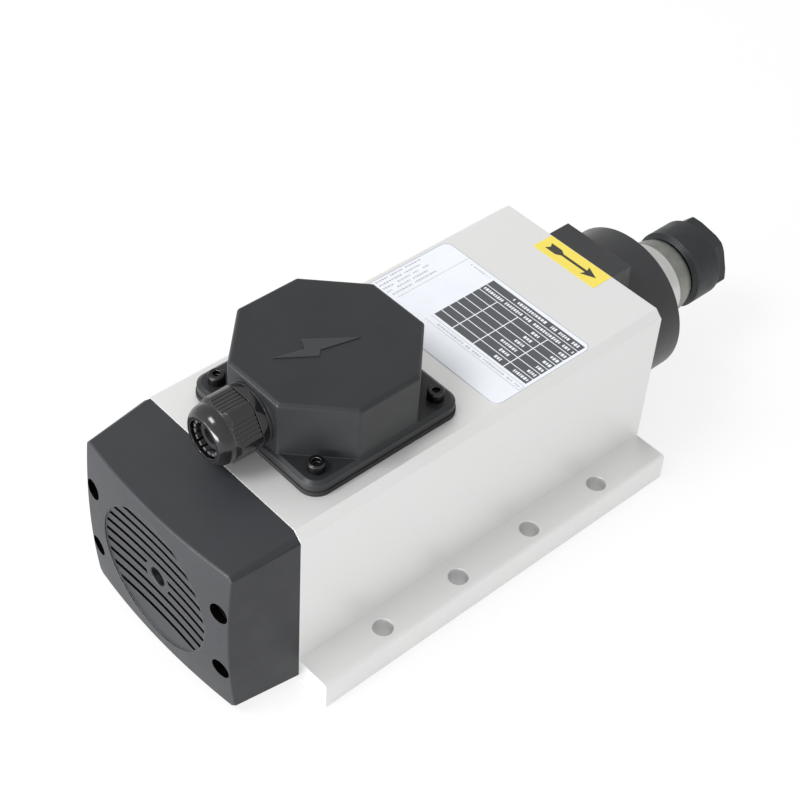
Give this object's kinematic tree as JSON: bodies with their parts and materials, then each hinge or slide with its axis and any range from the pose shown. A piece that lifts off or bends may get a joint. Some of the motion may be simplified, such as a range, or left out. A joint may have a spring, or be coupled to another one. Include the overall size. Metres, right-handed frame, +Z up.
{
  "type": "motor spindle",
  "caption": "Air-cooled square-body motor spindle with a drilled base, black nose cap, collet chuck, terminal box with cable gland, and fan cover.",
  "frame": {"origin": "centre of the base's underside, midway between the housing's ends and sides", "axes": "+X along the spindle axis towards the tool; +Z up from the base to the terminal box; +Y to the left when looking along +X"},
  "size_m": [0.3086, 0.125, 0.1153],
  "materials": {
    "anodised_body": "fine bead-blasted silver anodise",
    "black_casting": "satin black coat on a machined aluminium casting",
    "black_screws": "black-oxide steel, slightly oily",
    "zinc_screws": "zinc-plated steel",
    "ground_steel": "ground and polished hardened steel",
    "nut_steel": "dark blackened steel, turned and milled",
    "collet_steel": "ground spring steel",
    "bearing_steel": "polished bearing steel",
    "lamination_steel": "stacked electrical sheet with a thin varnish",
    "cast_cage": "die-cast aluminium, as cast",
    "winding_copper": "varnished copper wire, laced",
    "stud_brass": "turned brass",
    "fan_plastic": "black moulded plastic",
    "cover_plastic": "dark grey moulded plastic, finely textured",
    "box_plastic": "black moulded plastic with a light sheen",
    "block_plastic": "moulded phenolic, cream",
    "gasket_rubber": "black sheet rubber",
    "gland_plastic": "gloss black polyamide",
    "claw_plastic": "pale grey polyamide",
    "lead_sleeve": "coloured silicone insulation",
    "rating_plate": "pale grey printed foil",
    "arrow_sticker": "yellow foil with a black printed arrow"
  },
  "bodies": {
    "root": {"motor_housing": "anodised_body", "front_end_cap": "black_casting", "front_cap_screws": "black_screws", "bearing_retainer": "black_casting", "retainer_screws": "black_screws", "front_bearing_outer_rings": "bearing_steel", "stator_core": "lamination_steel", "stator_windings": "winding_copper", "rear_end_shield": "black_casting", "rear_shield_screws": "zinc_screws", "rear_bearing_outer_ring": "bearing_steel", "preload_spring": "collet_steel", "fan_cover": "cover_plastic", "fan_cover_screws": "black_screws", "terminal_box_gasket": "gasket_rubber", "terminal_box_cover": "box_plastic", "terminal_box_screws": "black_screws", "terminal_block": "block_plastic", "terminal_studs": "stud_brass", "phase_leads": "lead_sleeve", "gland_body": "gland_plastic", "gland_seal": "gasket_rubber", "gland_locknut": "gland_plastic"},
    "rotor": {"spindle_shaft": "ground_steel", "rotor_core": "lamination_steel", "rotor_cage": "cast_cage", "front_bearing_inner_rings": "bearing_steel", "rear_bearing_inner_ring": "bearing_steel", "nose_ring": "ground_steel", "cooling_fan": "fan_plastic", "fan_circlip": "black_screws"},
    "front_balls": {"front_bearing_ball_cages": "bearing_steel"},
    "rear_balls": {"rear_bearing_ball_cage": "bearing_steel"},
    "collet": {"collet": "collet_steel"},
    "collet_nut": {"collet_nut": "nut_steel"},
    "gland_claw": {"gland_claw": "claw_plastic"},
    "gland_nut": {"gland_cap_nut": "gland_plastic"}
  },
  "joints": [
    {"name": "spindle_spin", "type": "hinge", "parent": "root", "child": "rotor", "pos_m": [0, 0, 0.042], "axis": [1, 0, 0], "continuous": true},
    {"name": "front_balls_orbit", "type": "hinge", "parent": "root", "child": "front_balls", "pos_m": [0, 0, 0.042], "axis": [1, 0, 0], "continuous": true},
    {"name": "rear_balls_orbit", "type": "hinge", "parent": "root", "child": "rear_balls", "pos_m": [0, 0, 0.042], "axis": [1, 0, 0], "continuous": true},
    {"name": "collet_eject", "type": "slide", "parent": "rotor", "child": "collet", "axis": [1, 0, 0], "range_m": [0, 0.003]},
    {"name": "collet_nut_turn", "type": "hinge", "parent": "collet", "child": "collet_nut", "pos_m": [0, 0, 0.042], "axis": [1, 0, 0], "range_deg": [0, 720]},
    {"name": "gland_claw_travel", "type": "slide", "parent": "root", "child": "gland_claw", "axis": [-1, 0, 0], "range_m": [0, 0.0045]},
    {"name": "gland_nut_turn", "type": "hinge", "parent": "gland_claw", "child": "gland_nut", "pos_m": [0, 0, 0.1], "axis": [-1, 0, 0], "range_deg": [0, 1080]}
  ],
  "couplings": [
    {"joint": "front_balls_orbit", "follows": "spindle_spin", "ratio": 0.42},
    {"joint": "rear_balls_orbit", "follows": "spindle_spin", "ratio": 0.38},
    {"joint": "collet_eject", "follows": "collet_nut_turn", "m_per_rad": 0.00023873},
    {"joint": "gland_claw_travel", "follows": "gland_nut_turn", "m_per_rad": 0.00023873}
  ]
}
